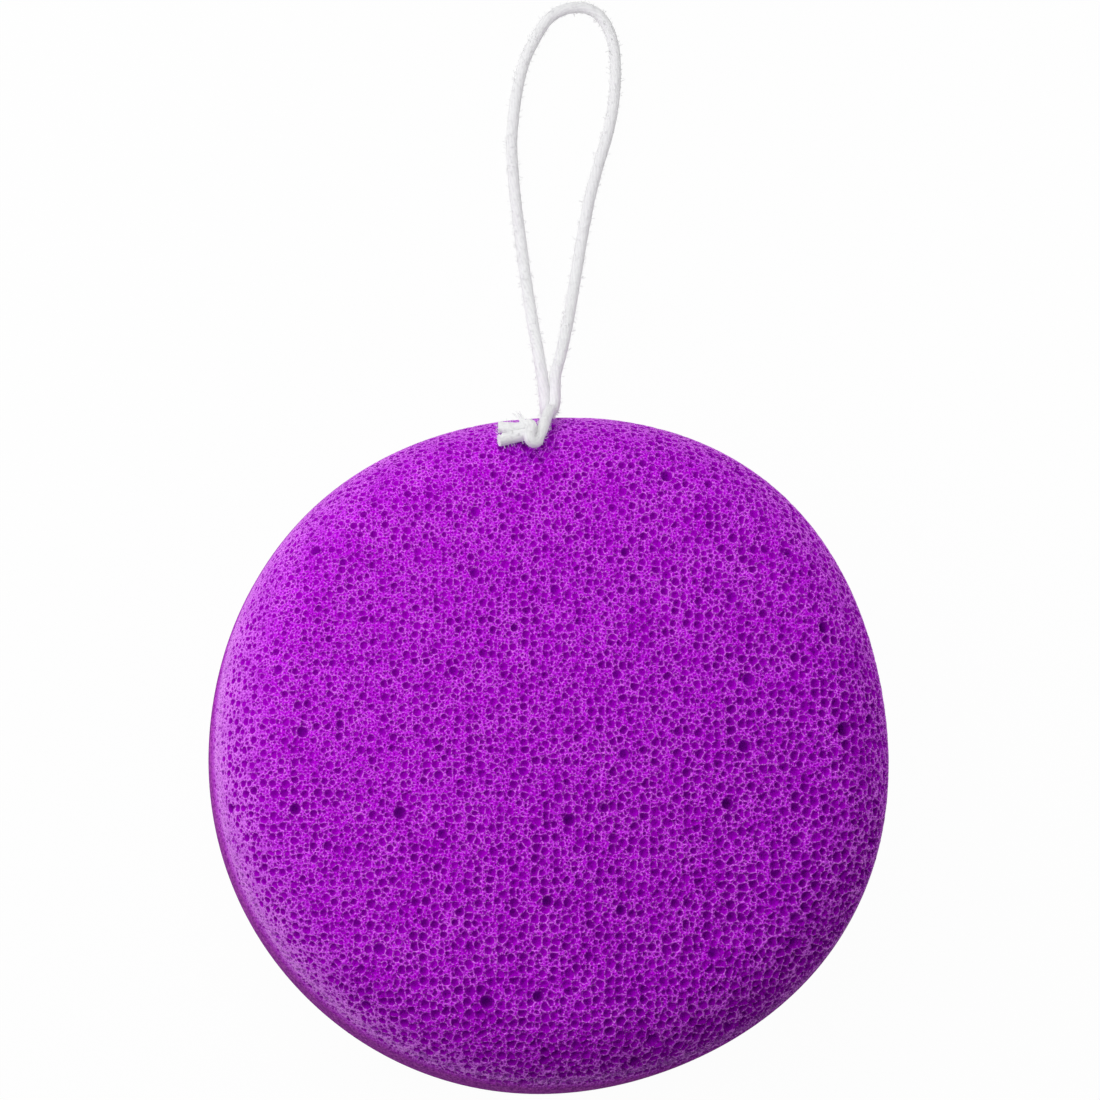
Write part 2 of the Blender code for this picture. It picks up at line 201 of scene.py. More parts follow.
freeLoop = (
    (0.00072, 0.04542, 0.01118), (0.00144, 0.04812, 0.01022), (0.00250, 0.05242, 0.00743),
    (0.00370, 0.05792, 0.00337), (0.00470, 0.06332, 0.00112), (0.00540, 0.06712, 0.00080),
    (0.00610, 0.07052, 0.00080), (0.00700, 0.07392, 0.00080), (0.00800, 0.07732, 0.00080),
    (0.00870, 0.08082, 0.00080), (0.00900, 0.08442, 0.00080), (0.00890, 0.08782, 0.00080),
    (0.00820, 0.09052, 0.00080), (0.00700, 0.09232, 0.00080), (0.00560, 0.09312, 0.00080),
    (0.00410, 0.09322, 0.00080), (0.00250, 0.09282, 0.00080), (0.00110, 0.09192, 0.00080),
    (0.00010, 0.09072, 0.00080), (-0.00090, 0.08892, 0.00080), (-0.00200, 0.08652, 0.00080),
    (-0.00280, 0.08342, 0.00080), (-0.00330, 0.08012, 0.00080), (-0.00360, 0.07632, 0.00080),
    (-0.00340, 0.07212, 0.00080), (-0.00300, 0.06802, 0.00080), (-0.00250, 0.06402, 0.00101),
    (-0.00208, 0.05902, 0.00283), (-0.00170, 0.05352, 0.00668), (-0.00122, 0.04852, 0.00995),
    (-0.00086, 0.04542, 0.01104),
)

throughFoam = (  # from the neck down, in at the side and up under the knot
    (-0.00062, 0.04332, 0.01132), (-0.00058, 0.04223, 0.01150), (-0.00052, 0.04160, 0.01152),
    (-0.00042, 0.04099, 0.01135), (-0.00034, 0.04049, 0.01101), (-0.00038, 0.03952, 0.00990),
    (-0.00048, 0.03817, 0.00965), (-0.00070, 0.03649, 0.01057), (-0.00140, 0.03532, 0.01347),
    (-0.00190, 0.03480, 0.01733), (-0.00245, 0.03490, 0.02078), (-0.00280, 0.03540, 0.02238),
)

knotCentre = np.array(knot["centre"])
knotOut = np.array(knot["out"])
knotDown = np.array((0.0, knotOut[2], -knotOut[1]))  # along the foam towards the rim


def besideKnot(place):
    left, rimward, out = place
    return knotCentre + np.array((-left, 0.0, 0.0)) + knotDown * rimward + knotOut * out


def smoothRoute(points, spacing):
    # evenly spaced points on a Catmull-Rom curve through the given ones
    points = np.array(points, float)
    ends = np.vstack([2 * points[0] - points[1], points, 2 * points[-1] - points[-2]])
    steps = 24  # between two given points
    t = (np.arange(1, steps + 1) / steps)[:, None]
    fine = [points[:1]]
    for before, start, end, after in zip(ends, ends[1:], ends[2:], ends[3:]):
        fine.append((
            2 * start + (end - before) * t + (2 * before - 5 * start + 4 * end - after) * t ** 2
            + (3 * start - before - 3 * end + after) * t ** 3
        ) / 2)
    fine = np.vstack(fine)
    reach = np.concatenate([[0.0], np.cumsum(np.linalg.norm(np.diff(fine, axis=0), axis=1))])
    even = np.linspace(0.0, reach[-1], int(round(reach[-1] / spacing)) + 1)
    return np.stack([np.interp(even, reach, fine[:, k]) for k in range(3)], 1)


def wholeRoute():
    return (
        [besideKnot(p) for p in knot["upperStrand"]] + list(overRim) + list(freeLoop) + list(throughFoam)
        + [besideKnot(p) for p in knot["lowerStrand"]]
    )


cordPath = smoothRoute(wholeRoute(), cord["pathSpacing"])


# open-cell foam body

sponge = {
    "diameter": 0.080,
    "thickness": 0.026,
    "crownRise": 0.0012,
    "shoulderWidth": 0.0092,
    "shoulderHeight": 0.0100,
    "sideDrawIn": 0.0008,
    "backEdgeRadius": 0.0060,
    # the outline's waves: how many round it, their share of the radius, and their phase in degrees
    "waves": ((2, 0.0100, 84.0), (3, 0.0030, -172.0), (4, 0.0084, -146.0), (5, 0.0047, -107.0)),
    "sectionPoints": 240,  # in each part of the section
    "meshPitch": 0.000165,
    "backShift": 0.3,  # of the back from the front, where both are laid out flat for the pores
    # bearing in degrees, and how far above the widest girth the side's skin reaches there
    "skinTop": (
        (0, 0.0008), (30, 0.0012), (60, 0.0012), (90, 0.0010), (120, 0.0006), (150, 0.0003), (160, 0.0012),
        (170, 0.0025), (180, 0.0031), (220, 0.0029), (240, 0.0032), (260, 0.0034), (275, 0.0032),
        (288, 0.0022), (298, 0.0009), (308, -0.0003), (330, -0.0005),
    ),
    "skinFade": (-0.0001, 0.0018),  # from the skin's edge
    # between two bearings the pores are smaller next to the skin
    "tightFrom": 150,
    "tightTo": 240,
    "tightFade": (20, 25),
    "tightShare": 0.26,
    "tightReach": 0.0060,
    # the pores open further towards one bearing, and less away from it
    "openBearing": -48,
    "openMore": 0.34,
    "openLess": 0.22,
    "seamWidth": 0.0006,  # at the edge of the back, where the two layouts meet and the pores are shut
    "backFade": (-0.0005, 0.0025),  # from there inwards, until they are as open as the front's
    "veilStart": -0.0012,
    # bearing in degrees, and how far in from the skin torn fibres and a painted sheen veil the pits
    "veilReach": (
        (0, 0.0120), (30, 0.0105), (60, 0.0095), (120, 0.0095), (180, 0.0105), (215, 0.0090), (245, 0.0065),
        (265, 0.0045), (290, 0.0100), (312, 0.0165), (335, 0.0165),
    ),
}

pores = {
    # for each size of bubble: spacing, largest radius, the least as a share of it, the wall to the next one,
    # how far the skin shuts it, how deep its bowl is, the width of its lip's painted highlight and the
    # strength of its painted shade
    "rare": {
        "spacing": 0.0105, "radius": 0.00080, "least": 0.60, "wall": 0.00003, "closed": 1.0,
        "shift": (0.3, 0.11, 0.0), "bowl": 1.6, "lip": 0.00007, "tint": 1.0,
    },
    "coarse": {
        "spacing": 0.00126, "radius": 0.00058, "least": 0.55, "wall": 0.00003, "closed": 0.85,
        "shift": (0.0, 0.0, 0.0), "bowl": 0.85, "lip": 0.00007, "tint": 1.0,
    },
    "middle": {
        "spacing": 0.00074, "radius": 0.00034, "least": 0.50, "wall": 0.00003, "closed": 0.75,
        "shift": (0.1, 0.23, 0.0), "bowl": 0.85, "lip": 0.00006, "tint": 0.97,
    },
    "fine": {
        "spacing": 0.00043, "radius": 0.00019, "least": 0.45, "wall": 0.00002, "closed": 0.25,
        "shift": (0.2, 0.46, 0.0), "lip": 0.00004, "tint": 0.80,
    },
    "scatter": 0.84,  # how unevenly the bubbles lie, from 0 to 1
    "cornerRound": 0.00010,  # where a bubble meets a wall
    "wander": 0.00008,  # how far the bubbles stray from round
    "wanderSize": 0.0011,
    "strutRelief": 0.00007,
    "reliefSize": 0.0006,
    "skinRise": 0.00020,  # how far the skin stands out beyond the cut face
    "skinCalm": 0.72,  # share of the relief that the skin takes away
    "bowlLeast": 0.75,  # the shallowest pits, as a share of their size's bowl
    "bowlVary": 0.5,  # added to it by chance
}


def spongeProfile():
    # half of the section from the middle of the front round to the middle of the back, the distance along it,
    # and how far along it the widest girth and the edge of the back lie
    radius = sponge["diameter"] / 2
    start = radius - sponge["shoulderWidth"]
    level = sponge["thickness"] - sponge["crownRise"] - sponge["shoulderHeight"]
    share = np.linspace(0, 1, sponge["sectionPoints"])
    turn = share * math.pi / 2
    front = np.stack([start * share, sponge["thickness"] - sponge["crownRise"] * share ** 2], 1)
    shoulder = np.stack([
        start + sponge["shoulderWidth"] * np.sin(turn), level + sponge["shoulderHeight"] * np.cos(turn)
    ], 1)
    low = sponge["backEdgeRadius"]
    side = np.stack([radius - sponge["sideDrawIn"] * share ** 2, level + (low - level) * share], 1)
    edge = np.stack([
        radius - sponge["sideDrawIn"] - low * (1 - np.cos(turn)), low * (1 - np.sin(turn))
    ], 1)
    back = np.stack([edge[-1, 0] * (1 - share), 0 * share], 1)
    line = np.vstack([front, shoulder[1:], side[1:], edge[1:], back[1:]])
    along = np.concatenate([[0.0], np.cumsum(np.linalg.norm(np.diff(line, axis=0), axis=1))])
    return line, along, along[len(front) + len(shoulder) - 2], along[-len(back)]


def discGrid(steps):
    # a square grid laid over a disc with even cells: each point's share of the radius and its bearing
    a, b = np.meshgrid(np.linspace(-1, 1, steps + 1), np.linspace(-1, 1, steps + 1), indexing="ij")
    wide = np.abs(a) > np.abs(b)
    rho = np.where(wide, a, b)
    safe = np.where(rho == 0, 1, rho)
    bearing = np.where(wide, math.pi / 4 * b / safe, math.pi / 2 - math.pi / 4 * a / safe)
    bearing = np.where(rho < 0, bearing + math.pi, bearing)
    return np.abs(rho).ravel(), bearing.ravel()


def gridRing(steps):
    # the grid's outer points in turn, from bearing zero
    n, half = steps, steps // 2
    walk = [(n, j) for j in range(half, n)] + [(i, n) for i in range(n, 0, -1)]
    walk += [(0, j) for j in range(n, 0, -1)] + [(i, 0) for i in range(n)] + [(n, j) for j in range(half)]
    return np.array([i * (n + 1) + j for i, j in walk])


def gridFaces(steps):
    i, j = np.meshgrid(np.arange(steps), np.arange(steps), indexing="ij")
    a = (i * (steps + 1) + j).ravel()
    return np.stack([a, a + steps + 1, a + steps + 2, a + 1], 1)


def spongePlaces():
    # the section, every point's place along it and its bearing, and the faces
    line, along, girth, backEdge = spongeProfile()
    pitch = sponge["meshPitch"]
    steps = 4 * round(girth / pitch / 2)
    rows = round((backEdge - girth) / pitch)
    rho, bearing = discGrid(steps)
    frontCount = len(rho)
    ring = gridRing(steps)
    ringTurn = np.arange(4 * steps) * math.pi / 2 / steps
    backRho, backBearing = discGrid(steps // 2)
    backRing = gridRing(steps // 2)
    rowPlace = girth + (backEdge - girth) * np.arange(1, rows) / rows
    backPlace = along[-1] - backRho * (along[-1] - backEdge)
    place = np.concatenate([rho * girth, np.repeat(rowPlace, 4 * steps), backPlace])
    turn = np.concatenate([bearing, np.tile(ringTurn, rows - 1), backBearing])
    backStart = frontCount + (rows - 1) * 4 * steps
    rings = [ring] + [frontCount + k * 4 * steps + np.arange(4 * steps) for k in range(rows - 1)]
    quads = [gridFaces(steps)]
    for upper, lower in zip(rings, rings[1:]):
        quads.append(np.stack([upper, lower, np.roll(lower, -1), np.roll(upper, -1)], 1))
    fine, coarse = rings[-1], backStart + backRing
    a, b, c = fine[0::2], fine[1::2], np.roll(fine[0::2], -1)
    d, e = coarse, np.roll(coarse, -1)
    triangles = np.vstack([np.stack(t, 1) for t in ((a, d, b), (b, d, e), (b, e, c))])
    quads.append(backStart + gridFaces(steps // 2)[:, ::-1])
    return line, along, girth, backEdge, place, turn, quads, triangles


colourMap = {  # how the foam is laid out on its square map, whose side is 1 long
    "across": 0.150,  # metres of foam along one side of the map
    "front": (0.318, 0.682),  # middle of the front
    "back": (0.812, 0.812),
    "backScale": 0.8,
    "side": (0.02, 0.20),  # start of the side's first strip
    "sideDrop": 0.15,  # from the first strip down to the second
}


def mapPlaces(place, turn, quads, triangles, girth, end):
    # each face corner's place on the map: the front and the back as discs, and the side in two strips
    scale = 1 / colourMap["across"]
    (u, v), (backU, backV), (sideU, sideV) = colourMap["front"], colourMap["back"], colourMap["side"]
    front = np.stack([u + place * np.cos(turn) * scale, v + place * np.sin(turn) * scale], 1)
    inward = (end - place) * colourMap["backScale"] * scale
    back = np.stack([backU - inward * np.cos(turn), backV + inward * np.sin(turn)], 1)

    def strip(faces):
        around = np.where(turn < 0, turn + 2 * math.pi, turn)[faces]
        split = around.max(1) - around.min(1) > math.pi  # faces that lie across bearing zero
        around = np.where(split[:, None] & (around < math.pi), around + 2 * math.pi, around)
        half = around.mean(1) > math.pi
        right = (around - np.where(half, math.pi, 0)[:, None]) * sponge["diameter"] / 2 * scale
        up = (place[faces] - girth) * scale
        return np.stack([sideU + right, sideV - half[:, None] * colourMap["sideDrop"] + up], 2)

    corners = [front[quads[0]]] + [strip(band) for band in quads[1:-1]] + [back[quads[-1]], strip(triangles)]
    return np.vstack([part.reshape(-1, 2) for part in corners])


def nearPath(points, path, reach):
    # distance to the nearest point of a path, for points close to it, and the reach elsewhere
    low, high = path.min(0) - reach, path.max(0) + reach
    close = np.nonzero(((points > low) & (points < high)).all(1))[0]
    near = np.full(len(points), reach)
    for chunk in np.array_split(close, max(1, len(close) // 4000)):  # a few thousand at a time
        gap = np.linalg.norm(points[chunk][:, None] - path[None], axis=2).min(1)
        near[chunk] = np.minimum(gap, reach)
    return near


pucker = {  # where the tied cord pulls the foam in
    "depth": 0.0009,
    "reach": 0.0026,
    "limit": 0.009,  # a place further from the cord counts as this far
    "fade": (-0.0002, 0.0022),  # heights above the widest girth over which it fades out
    "eased": 0.65,  # share left out round the hole, where the foam keeps close to the cord
    "easedReach": 0.0016,
    "pathSpacing": 0.0003,  # of the cord's points that distances are measured to
    "grooveSpacing": 0.0002,
    "creases": 11,  # waves in a turn round the knot
    "creaseDepth": 0.00034,
    "creaseBend": 1.3,  # how uneven they are
    "creasePlace": 0.0021,  # from the knot's middle
    "creaseWidth": 0.0013,
    "folds": 28,  # finer ones, shown to the right of the cord
    "foldDepth": 0.00020,
    "foldPlace": 0.0024,
    "foldWidth": 0.0011,
    "foldStart": 0.0006,
    "grooveShare": 0.52,  # how far the foam keeps from the cord's middle, in its diameters
    "near": 0.004,  # the same for the groove, and the holes end there
    "holeDepth": 0.0022,
    "holeSoftness": 0.0002,
    "frontHole": 0.00070,  # radius of each mouth
    "sideHole": 0.00080,
    "dimpleDepth": 0.0004,
    "dimpleReach": 0.0016,
}


def besideCord(points, middle):
    # every point's bearing and distance from a place on the foam, and how far to its right the point lies
    side, rimward = points[:, 0] - middle[0], (points - middle) @ knotDown
    return np.arctan2(rimward, side), np.hypot(side, rimward), side


def pressedByCord(points):
    # the pucker round the tied cord, its creases, the groove and the two holes
    inFoam = np.array(throughFoam)
    tied = np.vstack([knotCentre[None], smoothRoute(overRim[:4], pucker["pathSpacing"])])
    near = nearPath(points, tied, pucker["limit"])
    level = sponge["thickness"] - sponge["crownRise"] - sponge["shoulderHeight"]
    fade = smoothStep(level + pucker["fade"][0], level + pucker["fade"][1], points[:, 2])
    depth = pucker["depth"] * bell(near, pucker["reach"]) * fade
    fromHole = np.linalg.norm(points - inFoam[-1], axis=1)
    depth *= 1 - pucker["eased"] * bell(fromHole, pucker["easedReach"])
    around, away, _ = besideCord(points, knotCentre)
    crease = np.cos(pucker["creases"] * around + pucker["creaseBend"] * np.sin(3 * around))
    crease = crease * bell(away - pucker["creasePlace"], pucker["creaseWidth"])
    depth += pucker["creaseDepth"] * crease * fade * (points[:, 2] > level)
    # fine folds fan out to the right of the cord
    around, away, side = besideCord(points, np.array(overRim[2]))
    fold = np.cos(pucker["folds"] * around) * bell(away - pucker["foldPlace"], pucker["foldWidth"])
    fold = fold * smoothStep(0.0, pucker["foldStart"], side)
    depth += pucker["foldDepth"] * fold * fade
    points = points - knotOut * depth[:, None]
    gap = nearPath(points, smoothRoute(overRim[:-1], pucker["grooveSpacing"]), pucker["near"])
    groove = np.clip(cord["diameter"] * pucker["grooveShare"] - gap, 0, None)
    points = points - knotOut * groove[:, None]
    for mouth, way, radius in (
        (inFoam[-1], inFoam[-2] - inFoam[-1], pucker["frontHole"]),
        (inFoam[5], np.array((0.0, -1.0, 0.0)), pucker["sideHole"]),
    ):
        way = way / np.linalg.norm(way)
        offset = points - mouth
        lateral = np.linalg.norm(offset - (offset @ way)[:, None] * way, axis=1)
        close = np.linalg.norm(offset, axis=1) < pucker["near"]
        soft = pucker["holeSoftness"]
        sink = pucker["holeDepth"] * (1 - smoothStep(radius - soft, radius + soft, lateral))
        dimple = pucker["dimpleDepth"] * bell(lateral, pucker["dimpleReach"])
        points = points + way * ((sink + dimple) * close)[:, None]
    return points


def spongeShares(place, turn, girth, backEdge):
    # how open the pores are at each point, how far the skin covers it and how far torn fibres and a painted
    # sheen veil it
    bearing = np.degrees(turn) % 360
    laceEnd = girth - np.interp(bearing, *np.array(sponge["skinTop"]).T, period=360)
    rimGap = laceEnd - place
    before, after = sponge["tightFade"]
    tight = smoothStep(sponge["tightFrom"] - before, sponge["tightFrom"], bearing)
    tight *= 1 - smoothStep(sponge["tightTo"], sponge["tightTo"] + after, bearing)
    nearSkin = 1 - smoothStep(0.0, sponge["tightReach"], rimGap)
    backStart, backFull = sponge["backFade"]
    backOpen = smoothStep(backEdge + backStart, backEdge + backFull, place)
    openShare = 1 - sponge["tightShare"] * tight * nearSkin * (1 - backOpen)
    slant = np.cos(turn - math.radians(sponge["openBearing"]))
    slant = np.minimum(place / girth, 1) * slant * (1 - backOpen)
    openShare += np.where(slant > 0, sponge["openMore"], sponge["openLess"]) * slant
    openShare *= smoothStep(0.0, sponge["seamWidth"], abs(place - backEdge))
    skinShare = smoothStep(*sponge["skinFade"], -rimGap) * (1 - backOpen)
    veilReach = np.interp(bearing, *np.array(sponge["veilReach"]).T, period=360)
    sheenAndFibreVeil = smoothStep(sponge["veilStart"], 0.0, rimGap) * (1 - smoothStep(0.0, 1.0, rimGap / veilReach))
    return {"openShare": openShare, "skinShare": skinShare, "sheenAndFibreVeil": sheenAndFibreVeil}


def spongeMesh():
    line, along, girth, backEdge, place, turn, quads, triangles = spongePlaces()
    out = np.interp(place, along, line[:, 0])
    up = np.interp(place, along, line[:, 1])
    waves = sum(h * np.cos(n * turn - math.radians(phase)) for n, h, phase in sponge["waves"])
    out = out * (1 + waves * (out / (sponge["diameter"] / 2)) ** 2)
    points = pressedByCord(np.stack([out * np.cos(turn), out * np.sin(turn), up], 1))

    faces = np.vstack(quads)
    indices = np.concatenate([faces.ravel(), triangles.ravel()])
    starts = np.concatenate([np.arange(len(faces)) * 4, len(faces) * 4 + np.arange(len(triangles)) * 3])
    mesh = bpy.data.meshes.new("spongeBase")
    mesh.vertices.add(len(points))
    mesh.vertices.foreach_set("co", points.ravel())
    mesh.loops.add(len(indices))
    mesh.polygons.add(len(starts))
    mesh.polygons.foreach_set("loop_start", starts.astype(np.int32))
    mesh.polygons.foreach_set("vertices", indices.astype(np.int32))
    mesh.update(calc_edges=True)
    layout = mapPlaces(place, turn, quads, triangles, girth, along[-1])
    mesh.uv_layers.new(name="OFBake").uv.foreach_set("vector", layout.astype(np.float32).ravel())
    for name, values in spongeShares(place, turn, girth, backEdge).items():
        storeValues(mesh, name, values)
    # the foam laid out flat, from the middle of the front to the back's edge, and the back well away from it
    behind = place >= backEdge
    reach = np.where(behind, along[-1] - place, place)
    flat = [reach * np.cos(turn) + sponge["backShift"] * behind, reach * np.sin(turn), 0 * turn]
    storeValues(mesh, "flatPlace", np.stack(flat, 1))
    return mesh


def addBubbles(add, place, level, openShare, skinShare):
    # one size of bubble: how far inside one a place is, how far from its wall, its radius and a chance number
    shifted = add("VectorMath", (place, level["shift"]), operation="ADD")
    look = {"Vector": shifted, "Scale": 1 / level["spacing"], "Randomness": pores["scatter"]}
    middle, wall = [
        add("TexVoronoi", look, "Distance", voronoi_dimensions="2D", feature=feature)
        for feature in ("F1", "DISTANCE_TO_EDGE")
    ]
    chance, other = add("SeparateXYZ", (middle.node.outputs["Color"],)).node.outputs[:2]
    least = level["least"] * level["radius"]
    size = add("Math", (chance, level["radius"] - least, least), operation="MULTIPLY_ADD")
    size = add("Math", (size, openShare), operation="MULTIPLY")
    shut = add("Math", (skinShare, -level["closed"], 1.0), operation="MULTIPLY_ADD")
    size = add("Math", (size, shut), operation="MULTIPLY")
    gap = add("Math", (middle, -level["spacing"], size), operation="MULTIPLY_ADD")
    wall = add("Math", (wall, level["spacing"], -level["wall"]), operation="MULTIPLY_ADD")
    inside = add("Math", (gap, wall, pores["cornerRound"]), operation="SMOOTH_MIN")
    return inside, wall, size, other


def poreTree(material):
    tree, add, given = newTree("openPores", [
        ("Wander", "NodeSocketFloat", pores["wander"]),
        ("Strut Relief", "NodeSocketFloat", pores["strutRelief"]),
        ("Skin Rise", "NodeSocketFloat", pores["skinRise"]),
    ])
    place = add("GeometryNodeInputPosition")
    normal = add("GeometryNodeInputNormal")
    flat, openShare, skinShare = [
        add("GeometryNodeInputNamedAttribute", {"Name": name}, "Attribute", data_type=kind)
        for name, kind in (("flatPlace", "FLOAT_VECTOR"), ("openShare", "FLOAT"), ("skinShare", "FLOAT"))
    ]
    stray = add("TexNoise", {"Vector": flat, "Scale": 1 / pores["wanderSize"], "Detail": 1.0}, "Color")
    stray = add("VectorMath", (stray, (0.5, 0.5, 0.5)), operation="SUBTRACT")
    stray = add("VectorMath", {0: stray, "Scale": given["Wander"]}, operation="SCALE")
    bubblePlace = add("VectorMath", (stray, (2.0, 2.0, 2.0), flat), operation="MULTIPLY_ADD")
    depth = None
    for level in (pores["rare"], pores["coarse"], pores["middle"]):
        inside, _, size, chance = addBubbles(add, bubblePlace, level, openShare, skinShare)
        # each pit is a bowl, some deeper than others
        sunk = add("Math", (inside, 0.0), operation="MAXIMUM")
        share = add("Math", (sunk, size), operation="DIVIDE")
        share = add("Math", (share, -1.0, 2.0), operation="MULTIPLY_ADD")
        bowl = (chance, level["bowl"] * pores["bowlVary"], level["bowl"] * pores["bowlLeast"])
        bowl = add("Math", bowl, operation="MULTIPLY_ADD")
        pit = sunk
        for factor in (share, bowl, openShare):
            pit = add("Math", (pit, factor), operation="MULTIPLY")
        depth = pit if depth is None else add("Math", (depth, pit), operation="MAXIMUM")
    relief = add("TexNoise", {"Vector": place, "Scale": 1 / pores["reliefSize"], "Detail": 2.0})
    depth = add("Math", (relief, given["Strut Relief"], depth), operation="MULTIPLY_ADD")
    calm = add("Math", (skinShare, -pores["skinCalm"], 1.0), operation="MULTIPLY_ADD")
    depth = add("Math", (depth, calm), operation="MULTIPLY")
    risen = add("Math", (skinShare, given["Skin Rise"]), operation="MULTIPLY")
    depth = add("Math", (depth, risen), operation="SUBTRACT")
    # the flat place of every point is kept for the material, which finds the same bubbles from it
    kept = add("GeometryNodeStoreNamedAttribute", {
        "Geometry": given["Geometry"], "Name": "foamPlace", "Value": bubblePlace,
    }, data_type="FLOAT_VECTOR", domain="POINT")
    down = add("Math", (depth, -1.0), operation="MULTIPLY")
    offset = add("VectorMath", {0: normal, "Scale": down}, operation="SCALE")
    moved = add("GeometryNodeSetPosition", {"Geometry": kept, "Offset": offset})
    return endTree(tree, add("GeometryNodeSetShadeSmooth", (moved,)), material)


foamColours = {
    "strut": "#D420FE",  # cell edges that catch the light
    # painted highlight on the lips of the pits and the edges of the finest cells
    "strutHighlight": "#F288FF",
    "web": "#B800DA",  # thin walls between the cells
    # painted shade in the pits, darker and more saturated where light bounces round inside them
    "pit": "#A800C8",
    "pitShadeDeep": "#8700A4",
    "rim": "#EE9CFF",  # torn fibres and a painted sheen next to the skin
    "skin": "#BC58BA",
    "skinDark": "#681870",
}

foamGrain = {
    "fuzz": 0.00025,  # torn fibres on the cell edges, a quarter of a millimetre
    "fuzzHeight": 0.00011,  # in the bump
    "patch": 0.0038,  # brighter and duller patches of several cells each
    "patchShare": 0.25,  # how far they count beside the fibres
    "bright": (0.57, 0.79),  # noise that makes a cell edge dull, and bright
    "rimPale": 0.45,  # painted sheen: how pale the cell edges are next to the skin
    "rimBright": 0.55,  # added to that for bright ones
    # where a pit's painted highlight lip starts, where its painted shade starts and where it is full, in
    # widths of the lip
    "lipOut": 1.8,
    "pitOut": 0.2,
    "pitIn": 0.8,
    "lipHighlightShare": 0.9,  # how strong a lip's painted highlight may get
    "toneFuzz": 1.2,  # how far the fibres lighten a pit
    "toneLow": -0.3,  # where a pit's painted shade starts to deepen
    "veil": (0.40, 0.62, 0.75),  # from and to which noise torn fibres and a painted sheen veil the pits, and how much
    "veilFrom": 0.90,  # only next to the skin, where the veil's share is more than this
    "speck": 0.00042,  # cells of the skin
    "speckTall": 0.7,  # a little taller than wide, as in foam that rose in a mould
    "speckRange": (0.36, 0.64),  # noise that makes the skin dark, and light
    "skinCover": 0.80,
}


